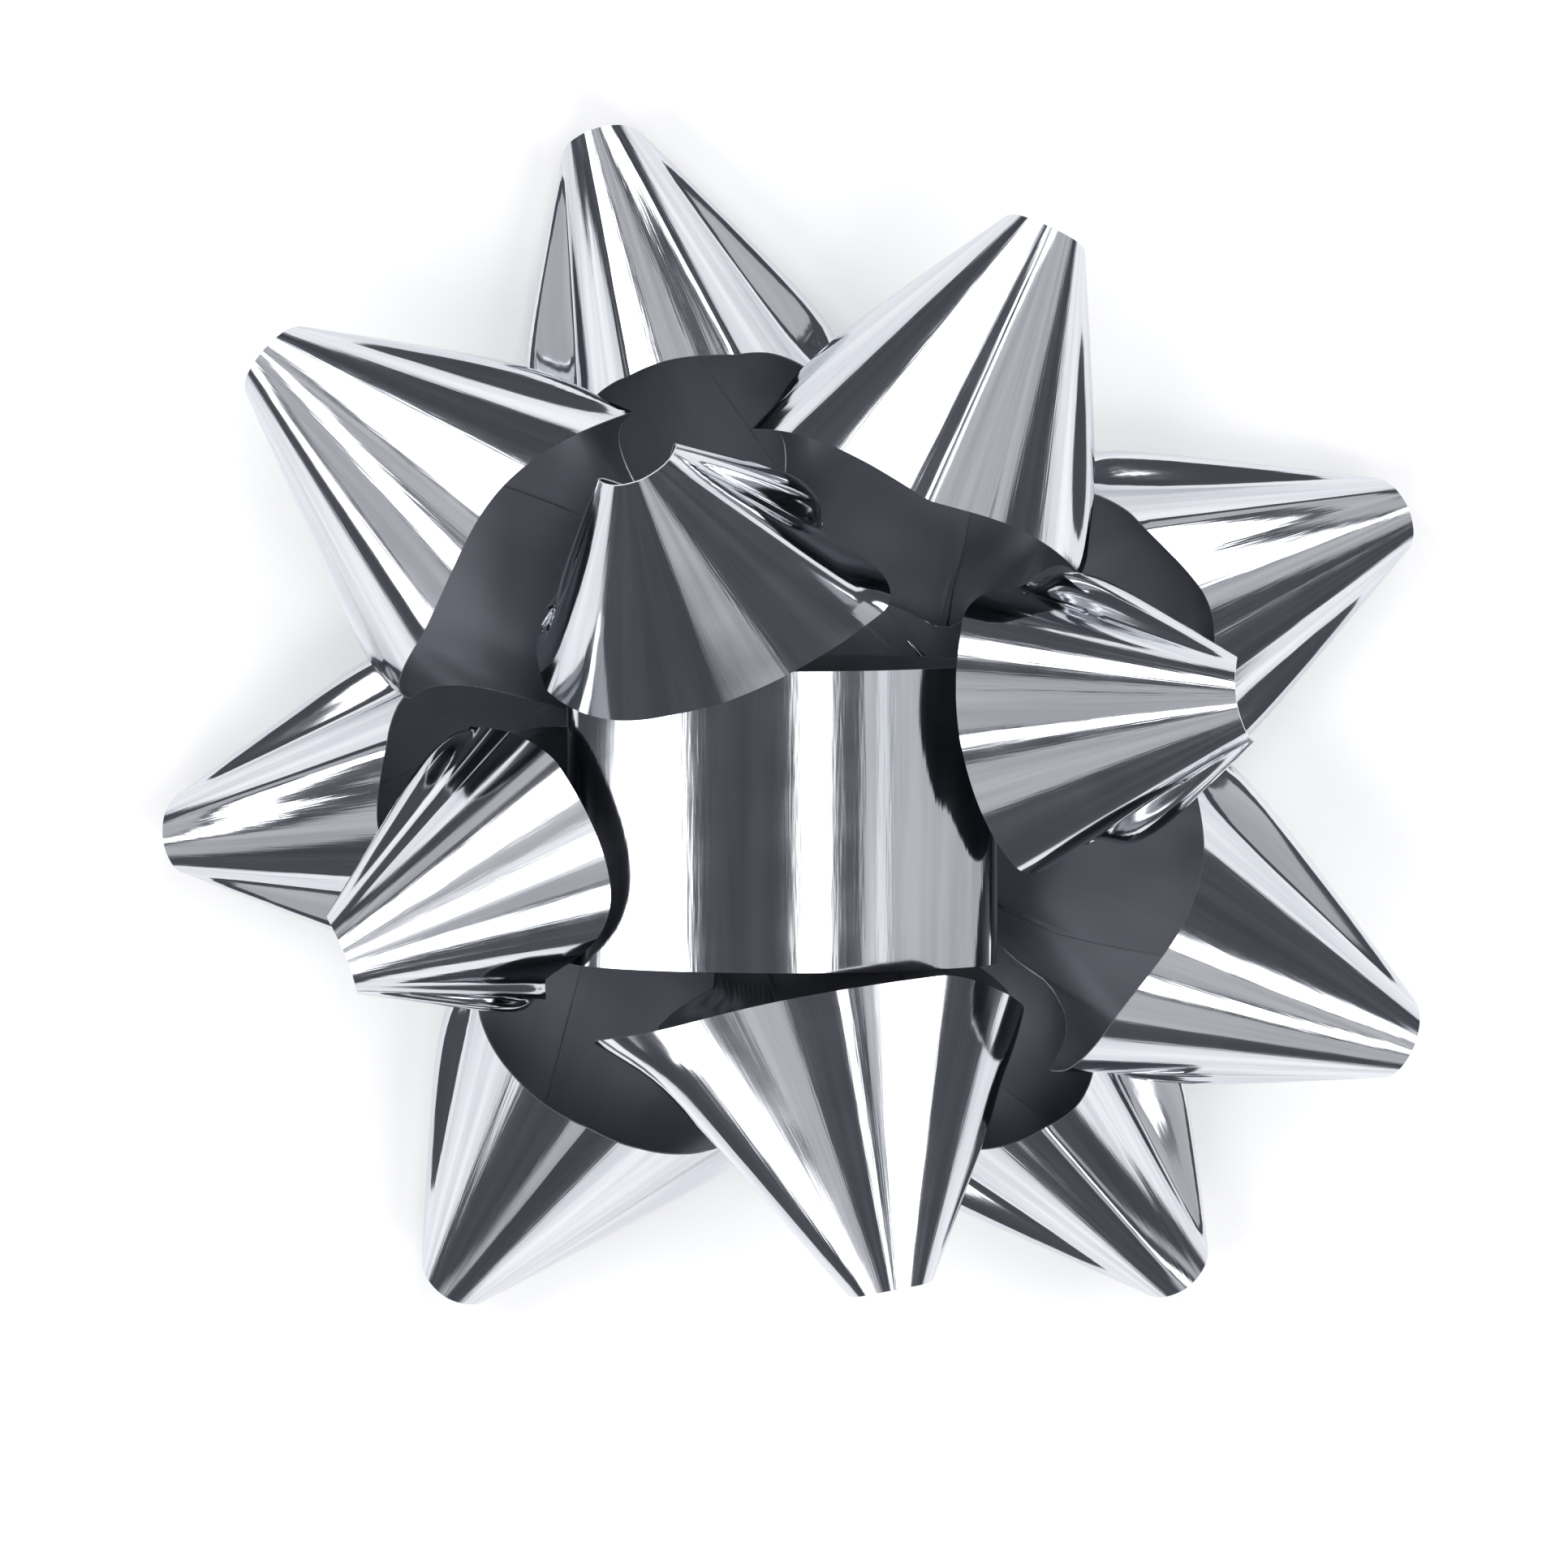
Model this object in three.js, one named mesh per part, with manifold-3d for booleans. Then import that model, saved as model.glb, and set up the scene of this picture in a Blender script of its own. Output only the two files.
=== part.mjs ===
// A pre-made gift bow: pointed loops of metallised ribbon in three tiers round one plain loop,
// stapled through a base card that carries a foam adhesive pad and its release liner.
// Millimetres, +Z up, the origin at the centre of the underside.
import * as THREE from "three";
import { mergeVertices } from "three/addons/utils/BufferGeometryUtils.js";
import Module from "manifold-3d";

const wasm = await Module();
wasm.setup();

// ---- Driving dimensions ----
const RIBBON_WIDTH = 18;
const FILM = 0.15; // thickness of the ribbon
const LAYER = 0.5; // height that one loop takes in the stapled stack
const TIP_OPENING = 4; // from the virtual point of a loop to the edge of its ribbon
const FLOOR_PAST_CENTRE = 7; // how far the floor of a loop runs past the staple
const WALL_END = 23; // from the point of a loop, along its axis, to where its walls stop
const TURN_STEPS = 32; // facets round a pointed loop
const LENGTH_STEPS = 5; // facets along it, from its tip to its mouth
const TONGUE_COLUMNS = 2; // facets on each side of the middle of the floor that run to the staple
const TONGUE_BEND_STEPS = 6; // facets along the tongue that take its bend
const TONGUE_FLAT_STEPS = 3; // facets along the rest of it

const LINER_WIDTH = 24;
const LINER_THICKNESS = 0.15;
const PAD_DIAMETER = 21;
const PAD_THICKNESS = 1.2;
const CARD_DIAMETER = 26;
const CARD_THICKNESS = 0.6;
const REST_GAP = 0.05; // clearance between pieces that lie on each other

const WIRE = 0.5;
const WIRE_CLEARANCE = 0.12;
const STAPLE_SPAN = 5.2; // between the middles of the two legs

// Heights, worked up from the underside.
const PAD_BOTTOM = LINER_THICKNESS + REST_GAP;
const CARD_BOTTOM = PAD_BOTTOM + PAD_THICKNESS + REST_GAP;
const STACK_BOTTOM = CARD_BOTTOM + CARD_THICKNESS + REST_GAP;

// The pointed loops in the order they are stacked, from the card up.
// azimuth: degrees from +X; tip: distance of the tip from the middle, seen from above;
// slope: degrees that the floor of the loop rises; bendAt: where it starts to rise.
const LOOPS = [
  { name: "loop_lower_1", azimuth: 21.4, tip: 39.5, slope: 1, bendAt: 13 },
  { name: "loop_lower_2", azimuth: 107.4, tip: 39, slope: 2, bendAt: 13 },
  { name: "loop_lower_3", azimuth: 188, tip: 38, slope: 1, bendAt: 13 },
  { name: "loop_lower_4", azimuth: 237.6, tip: 39, slope: 1, bendAt: 13 },
  { name: "loop_lower_5", azimuth: 306.4, tip: 40, slope: 2, bendAt: 13 },
  { name: "loop_middle_1", azimuth: 335.7, tip: 40.5, slope: 17, bendAt: 12 },
  { name: "loop_middle_2", azimuth: 141.5, tip: 40, slope: 17, bendAt: 12 },
  { name: "loop_middle_3", azimuth: 65, tip: 36, slope: 22, bendAt: 12 },
  { name: "loop_middle_4", azimuth: 201, tip: 29, slope: 46, bendAt: 13.5 },
  { name: "loop_middle_5", azimuth: 281, tip: 31, slope: 43, bendAt: 12.5 },
  { name: "loop_upper_1", azimuth: 11.7, tip: 27.5, slope: 54, bendAt: 13 },
  { name: "loop_upper_2", azimuth: 114.6, tip: 22, slope: 63, bendAt: 10 },
];
const TIERS = ["lower", "middle", "upper"];
const CENTRE_BOTTOM = STACK_BOTTOM + (LOOPS.length + 0.25) * LAYER;
const BEND_LENGTH = 4; // along the floor of a loop, from flat to its full slope

// Cross-section of a pointed loop, in degrees seen from its point: a flat floor under an arch.
const SECTION_HALF_WIDTH = 28.5;
const CORNER_WIDTH = 8;
const CORNER_HEIGHT = 6;
const SECTION_SAMPLES = 160;

// Neighbouring loops press flat against each other outside the stapled stack.
const STACK_RADIUS = 9;
const PRESS_RADIUS = 13;
const PRESS_LIFT_RADIUS = 19; // nearer than this the layers of the floors keep their own heights
const PRESS_GAP = 0.45;
const PRESS_SHARPNESS = 6; // how abruptly a loop flattens where it meets a neighbour's plane
const NARROWEST_PRESS = THREE.MathUtils.degToRad(4);
const UPPER_BIAS = THREE.MathUtils.degToRad(4);
const TIER_TILT = 0.8; // how far the planes between two tiers lean, so that one lies on the other
const PUSH_SHARPNESS = 5; // how abruptly the centre loop's push dies out

const CENTRE_LOOP_WIDTH = 26;
const CENTRE_LOOP_HEIGHT = 9;
const CENTRE_LOOP_OVERLAP = 16; // degrees that each end runs past the bottom
const CENTRE_LOOP_LAP = 0.3; // how much lower the inner end lies than the outer one
const CENTRE_LOOP_X = -0.7;
const CENTRE_LOOP_Y = -2.7;
const CENTRE_LOOP_GAP = 1.1; // to the pointed loops that it pushes aside
const CENTRE_LOOP_EDGE = 7; // how far past the edge of its ribbon the push dies out

const radians = THREE.MathUtils.degToRad;
const smooth = THREE.MathUtils.smoothstep;
const lerp = THREE.MathUtils.lerp;

// ---- Materials ----
function filmMaterial() {
  return new THREE.MeshStandardMaterial({ color: 0xb9bcc4, roughness: 0.16, metalness: 1 });
}

function wireMaterial() {
  return new THREE.MeshStandardMaterial({ color: 0xa9abad, roughness: 0.3, metalness: 1 });
}

function cardMaterial() {
  return new THREE.MeshStandardMaterial({ color: 0xe9e7e0, roughness: 0.85, metalness: 0 });
}

function foamMaterial() {
  return new THREE.MeshStandardMaterial({ color: 0xf3f2ee, roughness: 0.9, metalness: 0 });
}

function linerMaterial() {
  return new THREE.MeshStandardMaterial({ color: 0xf6f5f0, roughness: 0.45, metalness: 0 });
}

// ---- Solids ----
function solidOf(geometry) {
  const bare = geometry.clone();
  bare.deleteAttribute("normal");
  bare.deleteAttribute("uv");
  const merged = mergeVertices(bare, 1e-4);
  return new wasm.Manifold(
    new wasm.Mesh({
      numProp: 3,
      vertProperties: new Float32Array(merged.attributes.position.array),
      triVerts: new Uint32Array(merged.index.array),
    }),
  );
}

function geometryOf(solid) {
  const mesh = solid.getMesh();
  const geometry = new THREE.BufferGeometry();
  geometry.setAttribute("position", new THREE.BufferAttribute(mesh.vertProperties, 3));
  geometry.setIndex(new THREE.BufferAttribute(mesh.triVerts, 1));
  geometry.computeVertexNormals();
  return geometry;
}

function boxSolid(centre, size) {
  const box = new THREE.BoxGeometry(...size);
  box.translate(...centre);
  return solidOf(box);
}

function discSolid(diameter, thickness, bottom) {
  const disc = new THREE.CylinderGeometry(diameter / 2, diameter / 2, thickness, 48);
  disc.rotateX(Math.PI / 2);
  disc.translate(0, 0, bottom + thickness / 2);
  return solidOf(disc);
}

function named(name, solid, material) {
  const mesh = new THREE.Mesh(geometryOf(solid), material);
  mesh.name = name;
  return mesh;
}

// ---- The cross-section of a pointed loop ----
// A direction seen from the point of the loop, for angles off its axis to the side and upwards.
function directionAt(sideDegrees, upDegrees) {
  const side = radians(sideDegrees);
  const up = radians(upDegrees);
  const off = Math.hypot(side, up);
  const share = off > 0 ? Math.sin(off) / off : 1;
  return new THREE.Vector3(Math.cos(off), side * share, up * share);
}

// One half of the section, from the top of the arch round the corner to the middle of the floor.
function halfSection(archHeight) {
  const outline = new THREE.CurvePath();
  const wide = SECTION_HALF_WIDTH;
  const riseOfArch = archHeight - CORNER_HEIGHT;
  outline.add(
    new THREE.EllipseCurve(0, CORNER_HEIGHT, wide, riseOfArch, Math.PI / 2, 0, true),
  );
  outline.add(
    new THREE.EllipseCurve(
      wide - CORNER_WIDTH, CORNER_HEIGHT, CORNER_WIDTH, CORNER_HEIGHT, 0, -Math.PI / 2, true,
    ),
  );
  outline.add(
    new THREE.LineCurve(new THREE.Vector2(wide - CORNER_WIDTH, 0), new THREE.Vector2(0, 0)),
  );
  const directions = [];
  const turned = [0];
  for (let i = 0; i <= SECTION_SAMPLES; i++) {
    const point = outline.getPoint(i / SECTION_SAMPLES);
    directions.push(directionAt(point.x, point.y));
    if (i > 0) turned.push(turned[i - 1] + directions[i].angleTo(directions[i - 1]));
  }
  return { directions, turned, total: turned[SECTION_SAMPLES] };
}

// The half-section whose length is the angle that the ribbon turns before its ends cross.
function fittedSection(crossing) {
  let low = CORNER_HEIGHT + 1;
  let high = 60;
  for (let i = 0; i < 40; i++) {
    const middle = (low + high) / 2;
    if (halfSection(middle).total < crossing) low = middle;
    else high = middle;
  }
  return halfSection((low + high) / 2);
}

// The direction of the ribbon's straight line that leaves the point at this angle of the strip.
function sectionDirection(section, crossing, angle) {
  const turn = Math.abs(angle);
  const hand = Math.sign(angle) || 1;
  if (turn >= crossing) {
    const past = turn - crossing;
    return new THREE.Vector3(Math.cos(past), -hand * Math.sin(past), 0);
  }
  let i = 1;
  while (i < SECTION_SAMPLES && section.turned[i] < turn) i++;
  const span = section.turned[i] - section.turned[i - 1];
  const share = span > 0 ? (turn - section.turned[i - 1]) / span : 0;
  const direction = section.directions[i - 1].clone();
  direction.lerp(section.directions[i], Math.min(Math.max(share, 0), 1)).normalize();
  direction.y *= hand;
  return direction;
}

// ---- A pointed loop ----
// Adds to a row of LOOPS what follows from it: its height in the stack, reach and section.
function preparedLoop(row, index) {
  const slope = radians(row.slope);
  const bendRadius = BEND_LENGTH / slope;
  const tipToPoint = TIP_OPENING * Math.cos(slope);
  const straight = row.tip + tipToPoint - row.bendAt - bendRadius * Math.sin(slope);
  const reach = row.bendAt + BEND_LENGTH + straight / Math.cos(slope);
  const middle = TIP_OPENING + RIBBON_WIDTH / 2;
  const crossing = Math.acos(middle / reach);
  return {
    ...row,
    slope,
    bendRadius,
    straight: straight / Math.cos(slope),
    reach,
    crossing,
    height: STACK_BOTTOM + (index + 0.5) * LAYER,
    section: fittedSection(crossing),
    rank: TIERS.findIndex((tier) => row.name.includes(tier)),
    neighbours: [],
  };
}

// Rolls the floor of the loop up from the flat stack to its slope.
function bentUp(loop, along, up) {
  const past = along - loop.bendAt;
  if (past <= 0) return { along, up };
  const turn = loop.slope * Math.min(past / BEND_LENGTH, 1);
  const straight = Math.max(past - BEND_LENGTH, 0);
  return {
    along:
      loop.bendAt +
      (loop.bendRadius - up) * Math.sin(turn) +
      straight * Math.cos(turn),
    up: loop.bendRadius - (loop.bendRadius - up) * Math.cos(turn) + straight * Math.sin(turn),
  };
}

// A point of the ribbon's middle surface before its neighbours press on it, from its distances
// along the axis of the loop, off to its side and above its floor.
function freePoint(loop, along, side, up) {
  const rolled = bentUp(loop, along, up);
  const point = new THREE.Vector3(rolled.along, side, rolled.up + loop.height);
  return point.applyAxisAngle(new THREE.Vector3(0, 0, 1), radians(loop.azimuth));
}

// The same for the ribbon's straight lines, which leave the point of the loop: angle picks the
// line, from 0 at the top of the arch to the crossing angle in the middle of the floor.
function freeLinePoint(loop, angle, fromPoint) {
  const offset = sectionDirection(loop.section, loop.crossing, angle).multiplyScalar(fromPoint);
  return freePoint(loop, loop.reach - offset.x, offset.y, offset.z);
}

// The direction of the middle of a loop's body from the middle of the stack.
function bodyDirection(loop) {
  const mean = new THREE.Vector3();
  for (const degrees of [-60, -30, 0, 30, 60]) {
    for (const share of [0.3, 0.9]) {
      mean.add(freeLinePoint(loop, radians(degrees), TIP_OPENING + share * RIBBON_WIDTH));
    }
  }
  mean.divideScalar(10);
  mean.z -= loop.height;
  return mean.normalize();
}

// The planes between each loop and every other one, which it stays behind. A loop of a higher
// tier pushes those below it a little aside.
function findNeighbours(loops) {
  for (const loop of loops) loop.body = bodyDirection(loop);
  for (const loop of loops) {
    for (const other of loops) {
      if (other === loop) continue;
      const share = loop.body.angleTo(other.body) / 2 + UPPER_BIAS * (loop.rank - other.rank);
      const sideways = other.body.clone();
      sideways.addScaledVector(loop.body, -other.body.dot(loop.body)).normalize();
      const border = loop.body.clone().multiplyScalar(Math.cos(share));
      border.addScaledVector(sideways, Math.sin(share));
      const normal = sideways.multiplyScalar(Math.cos(share));
      normal.addScaledVector(loop.body, -Math.sin(share));
      normal.z += TIER_TILT * Math.sign(other.rank - loop.rank);
      normal.addScaledVector(border, -normal.dot(border)).normalize();
      const height = (loop.height + other.height) / 2;
      loop.neighbours.push({ normal, offset: normal.z * height });
    }
  }
}

// A smooth lesser of two positive amounts, which still grows a little with the first one past the
// second, so that what is pressed together never folds over.
function softLesser(amount, limit) {
  return amount / Math.pow(1 + Math.pow(amount / limit, PRESS_SHARPNESS), 1 / PRESS_SHARPNESS);
}

// The widest angle off the loop's body, towards sideways, that stays clear of every neighbour at
// this distance from the stack.
function widestAngle(loop, foot, sideways, distance) {
  let widest = Math.PI;
  for (const { normal, offset } of loop.neighbours) {
    const alongBody = normal.dot(loop.body);
    const alongSide = normal.dot(sideways);
    const size = Math.hypot(alongBody, alongSide);
    const share = (offset - PRESS_GAP - normal.dot(foot)) / (distance * size);
    if (Math.abs(share) >= 1) continue;
    const angle = Math.atan2(alongSide, alongBody) - Math.acos(share);
    if (angle > 0) widest = Math.min(widest, angle);
  }
  return Math.max(widest, NARROWEST_PRESS);
}

// Presses a point of a loop in between its neighbours. Its distance from the stack and the way it
// leans stay as they are: only its angle off the loop's body gets smaller.
function pressedPoint(loop, free) {
  const foot = new THREE.Vector3(0, 0, loop.height);
  const offset = free.clone().sub(foot);
  const distance = offset.length();
  const press = smooth(distance, STACK_RADIUS, PRESS_RADIUS);
  if (press === 0) return free;
  const along = offset.dot(loop.body);
  const sideways = offset.clone().addScaledVector(loop.body, -along);
  const off = Math.atan2(sideways.length(), along);
  sideways.normalize();
  const least = softLesser(off, widestAngle(loop, foot, sideways, distance));
  const kept = lerp(off, least, press);
  const pressed = foot.clone();
  pressed.addScaledVector(loop.body, distance * Math.cos(kept));
  pressed.addScaledVector(sideways, distance * Math.sin(kept));
  const lift = smooth(distance, PRESS_RADIUS, PRESS_LIFT_RADIUS);
  pressed.z = lerp(free.z, pressed.z, lift);
  return clearOfCentreLoop(pressed);
}

// Pushes a point outwards, round the axis of the centre loop, until it's outside that loop.
function clearOfCentreLoop(point) {
  const wide = CENTRE_LOOP_WIDTH / 2 + CENTRE_LOOP_GAP;
  const tall = CENTRE_LOOP_HEIGHT / 2 + CENTRE_LOOP_GAP;
  const middle = CENTRE_BOTTOM + CENTRE_LOOP_HEIGHT / 2;
  const x = point.x - CENTRE_LOOP_X;
  const z = point.z - middle;
  const within = Math.hypot(x / wide, z / tall);
  const pastEdge = Math.abs(point.y - CENTRE_LOOP_Y) - RIBBON_WIDTH / 2 - CENTRE_LOOP_GAP;
  if (point.z < CENTRE_BOTTOM || pastEdge >= CENTRE_LOOP_EDGE) return point;
  const pushed = Math.pow(1 + Math.pow(within, PUSH_SHARPNESS), 1 / PUSH_SHARPNESS);
  const push = 1 - smooth(pastEdge, 0, CENTRE_LOOP_EDGE);
  const rise = smooth(point.z, CENTRE_BOTTOM, CENTRE_BOTTOM + LAYER);
  const scale = lerp(1, pushed / within, push * rise);
  point.x = CENTRE_LOOP_X + x * scale;
  point.z = middle + z * scale;
  return point;
}

// Where each straight line of a loop starts and ends: at the tip edge of the ribbon, and at its
// mouth edge or where the walls stop.
function lineEnds(loop, angle) {
  const slant = Math.cos(angle);
  const alongAxis = sectionDirection(loop.section, loop.crossing, angle).x;
  const wallEnd = Math.min(WALL_END, loop.straight) / alongAxis;
  return { from: TIP_OPENING / slant, to: Math.min((TIP_OPENING + RIBBON_WIDTH) / slant, wallEnd) };
}

// The points of one straight line of the ribbon, from the tip to the mouth.
function linePoints(loop, angle) {
  const { from, to } = lineEnds(loop, angle);
  const points = [];
  for (let j = 0; j <= LENGTH_STEPS; j++) {
    const fromPoint = lerp(from, to, j / LENGTH_STEPS);
    points.push(pressedPoint(loop, freeLinePoint(loop, angle, fromPoint)));
  }
  return points;
}

// The points that carry a line of the floor on, straight past the staple.
function tonguePoints(loop, angle) {
  const direction = sectionDirection(loop.section, loop.crossing, angle);
  const end = lineEnds(loop, angle).to;
  const start = loop.reach - end * direction.x;
  const side = end * direction.y;
  const points = [];
  for (let j = 1; j <= TONGUE_BEND_STEPS + TONGUE_FLAT_STEPS; j++) {
    const bend = Math.min(j / TONGUE_BEND_STEPS, 1);
    const flat = Math.max(j - TONGUE_BEND_STEPS, 0) / TONGUE_FLAT_STEPS;
    const along = lerp(lerp(start, loop.bendAt, bend), -FLOOR_PAST_CENTRE, flat);
    points.push(pressedPoint(loop, freePoint(loop, along, side, 0)));
  }
  return points;
}

// The triangles of a sheet whose columns of points stand round a ring. A cell is there where both
// of its columns reach, and it's split along its shorter diagonal.
function sheetTriangles(columns) {
  const triangles = [];
  const firsts = [];
  let count = 0;
  for (const column of columns) {
    firsts.push(count);
    count += column.length;
  }
  columns.forEach((column, i) => {
    const next = (i + 1) % columns.length;
    const other = columns[next];
    for (let j = 0; j + 1 < Math.min(column.length, other.length); j++) {
      const a = firsts[i] + j;
      const b = firsts[next] + j;
      const straight = column[j].distanceTo(other[j + 1]) < other[j].distanceTo(column[j + 1]);
      if (straight) triangles.push([a, b, b + 1], [a, b + 1, a + 1]);
      else triangles.push([a, b, a + 1], [b, b + 1, a + 1]);
    }
  });
  return triangles;
}

// The edges that only one triangle has.
function openEdges(triangles) {
  const edges = new Map();
  for (const [a, b, c] of triangles) {
    for (const [from, to] of [[a, b], [b, c], [c, a]]) {
      if (!edges.delete(`${to} ${from}`)) edges.set(`${from} ${to}`, [from, to]);
    }
  }
  return [...edges.values()];
}

// A film of even thickness round a sheet of points.
function filmSolid(columns) {
  const points = columns.flat();
  const triangles = sheetTriangles(columns);
  const sheet = new THREE.BufferGeometry().setFromPoints(points);
  sheet.setIndex(triangles.flat());
  sheet.computeVertexNormals();
  const walls = [];
  for (const hand of [1, -1]) {
    points.forEach((point, i) => {
      const normal = new THREE.Vector3().fromBufferAttribute(sheet.attributes.normal, i);
      walls.push(point.clone().addScaledVector(normal, (hand * FILM) / 2));
    });
  }
  const under = points.length;
  const faces = triangles.flatMap(([a, b, c]) => [a, b, c, a + under, c + under, b + under]);
  for (const [a, b] of openEdges(triangles)) {
    faces.push(b, a, a + under, b, a + under, b + under);
  }
  const film = new THREE.BufferGeometry().setFromPoints(walls);
  film.setIndex(faces);
  return solidOf(film);
}

// A ring of straight lines; the seam lies in the middle of the floor, where the two ends of the
// ribbon cross and lie on each other, and there a tongue runs on to the staple.
function pointedLoop(loop) {
  const columns = [];
  for (let i = 0; i < TURN_STEPS; i++) {
    const angle = loop.crossing * (1 - (2 * i) / TURN_STEPS);
    const column = linePoints(loop, angle);
    if (Math.min(i, TURN_STEPS - i) <= TONGUE_COLUMNS) column.push(...tonguePoints(loop, angle));
    columns.push(column);
  }
  return filmSolid(columns);
}

// ---- The plain round loop in the middle ----
// Moves every vertex of a flat-walled blank onto a surface. place(vertex) gives its two surface
// coordinates and its height off the middle of the film.
function bent(blank, surface, place) {
  const position = blank.attributes.position;
  const step = 1e-3;
  for (let i = 0; i < position.count; i++) {
    const vertex = new THREE.Vector3().fromBufferAttribute(position, i);
    const { turn, across, height } = place(vertex);
    const point = surface(turn, across);
    const alongTurn = surface(turn + step, across).sub(surface(turn - step, across));
    const alongAcross = surface(turn, across + step).sub(surface(turn, across - step));
    const normal = alongTurn.cross(alongAcross).normalize();
    point.addScaledVector(normal, height);
    position.setXYZ(i, point.x, point.y, point.z);
  }
  return blank;
}

function centreLoop() {
  const half = radians(180 + CENTRE_LOOP_OVERLAP);
  const strip = new THREE.BoxGeometry(2, 1, FILM, 48, 3, 1);
  const surface = (turn, across) => {
    const angle = turn * half + Math.PI / 2;
    const drop = ((turn + 1) / 2) * CENTRE_LOOP_LAP;
    const wide = CENTRE_LOOP_WIDTH / 2 - drop;
    const tall = CENTRE_LOOP_HEIGHT / 2 - drop;
    return new THREE.Vector3(
      CENTRE_LOOP_X + wide * Math.cos(angle),
      CENTRE_LOOP_Y + (across - 0.5) * RIBBON_WIDTH,
      CENTRE_BOTTOM + CENTRE_LOOP_HEIGHT / 2 + tall * Math.sin(angle),
    );
  };
  const place = (vertex) => ({
    turn: vertex.x,
    across: vertex.y + 0.5,
    height: vertex.z,
  });
  return solidOf(bent(strip, surface, place));
}

// ---- The staple ----
function stapleSolid(crownBottom) {
  const legBottom = CARD_BOTTOM - REST_GAP - WIRE;
  const crownTop = crownBottom + WIRE;
  const crown = boxSolid(
    [0, 0, crownBottom + WIRE / 2],
    [STAPLE_SPAN + WIRE, WIRE, WIRE],
  );
  const clinchLength = STAPLE_SPAN / 2 - WIRE;
  let staple = crown;
  for (const hand of [-1, 1]) {
    const legX = (hand * STAPLE_SPAN) / 2;
    const leg = boxSolid(
      [legX, 0, (legBottom + crownTop) / 2],
      [WIRE, WIRE, crownTop - legBottom],
    );
    const clinchX = legX - (hand * clinchLength) / 2;
    const clinch = boxSolid([clinchX, 0, legBottom + WIRE / 2], [clinchLength, WIRE, WIRE]);
    staple = staple.add(leg).add(clinch);
  }
  return staple;
}

// What is cut out of every piece that the legs pass through.
function legHoles(top) {
  const size = WIRE + 2 * WIRE_CLEARANCE;
  const holes = [-1, 1].map((hand) =>
    boxSolid([(hand * STAPLE_SPAN) / 2, 0, top / 2], [size, size, top]),
  );
  return holes[0].add(holes[1]);
}

function padSolid() {
  const pad = discSolid(PAD_DIAMETER, PAD_THICKNESS, PAD_BOTTOM);
  const grooveDepth = WIRE + 2 * WIRE_CLEARANCE;
  const groove = boxSolid(
    [0, 0, CARD_BOTTOM - grooveDepth / 2],
    [STAPLE_SPAN + WIRE + 4 * WIRE_CLEARANCE, WIRE + 4 * WIRE_CLEARANCE, grooveDepth],
  );
  return pad.subtract(groove);
}

// ---- The whole bow ----
function buildBow() {
  const bow = new THREE.Group();
  bow.name = "gift_bow";
  const loops = LOOPS.map(preparedLoop);
  findNeighbours(loops);
  const crownBottom = CENTRE_BOTTOM + CENTRE_LOOP_LAP + 2 * FILM;
  const holes = legHoles(crownBottom);

  for (const loop of loops) {
    bow.add(named(loop.name, pointedLoop(loop).subtract(holes), filmMaterial()));
  }
  bow.add(named("loop_centre", centreLoop().subtract(holes), filmMaterial()));
  bow.add(named("staple", stapleSolid(crownBottom), wireMaterial()));
  const card = discSolid(CARD_DIAMETER, CARD_THICKNESS, CARD_BOTTOM).subtract(holes);
  bow.add(named("base_card", card, cardMaterial()));
  bow.add(named("adhesive_pad", padSolid(), foamMaterial()));
  const liner = boxSolid(
    [0, 0, LINER_THICKNESS / 2],
    [LINER_WIDTH, LINER_WIDTH, LINER_THICKNESS],
  );
  bow.add(named("release_liner", liner, linerMaterial()));
  return bow;
}

export default buildBow();
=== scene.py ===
"""A silver star gift bow on a pale floor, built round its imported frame."""

import math

import bmesh
import bpy
import numpy as np
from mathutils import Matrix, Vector


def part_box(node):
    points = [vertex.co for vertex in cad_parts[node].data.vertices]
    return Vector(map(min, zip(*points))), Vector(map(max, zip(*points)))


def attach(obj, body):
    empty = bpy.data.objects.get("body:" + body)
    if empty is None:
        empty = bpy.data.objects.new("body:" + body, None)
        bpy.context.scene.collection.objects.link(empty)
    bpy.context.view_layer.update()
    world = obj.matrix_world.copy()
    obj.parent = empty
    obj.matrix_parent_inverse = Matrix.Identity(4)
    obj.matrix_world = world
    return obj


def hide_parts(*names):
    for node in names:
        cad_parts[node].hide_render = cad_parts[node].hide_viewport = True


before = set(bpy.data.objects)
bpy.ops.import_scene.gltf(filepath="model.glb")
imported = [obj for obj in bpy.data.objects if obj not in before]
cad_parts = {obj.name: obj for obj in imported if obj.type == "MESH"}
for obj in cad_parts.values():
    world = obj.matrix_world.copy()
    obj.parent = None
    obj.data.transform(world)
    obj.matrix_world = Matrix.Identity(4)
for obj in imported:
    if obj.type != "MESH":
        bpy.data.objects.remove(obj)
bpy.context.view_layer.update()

# ---- Driving dimensions, in millimetres unless a name says otherwise ----
MM = 0.001
RIBBON_WIDTH = 18.0
FILM = 0.1
LAYER = 0.5  # height that one loop takes in the stapled stack
TAIL_LIFT = 0.11  # the two crossing ends of a loop lie this far above and below its floor
TIP_OPENING = 4.0  # from the virtual point of a loop to the edge of its ribbon
FLOOR_PAST_CENTRE = 6.5  # how far each tail runs past the staple
WALL_END = 27.0  # from the point of a loop, along its axis, to where its walls stop
TURN_STEPS = 168
LENGTH_STEPS = 26

STACK_BOTTOM = 2.1  # top of the card
STAPLE_SPAN = 5.2  # between the middles of the two legs
WIRE = 0.5
WIRE_SIDES = 14
PAD_DIAMETER = 21.0
PLATE_SIDES = 96
LINER_STEPS = 40
LINER_ROUNDING = 12  # the higher, the tighter the liner's corners

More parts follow.
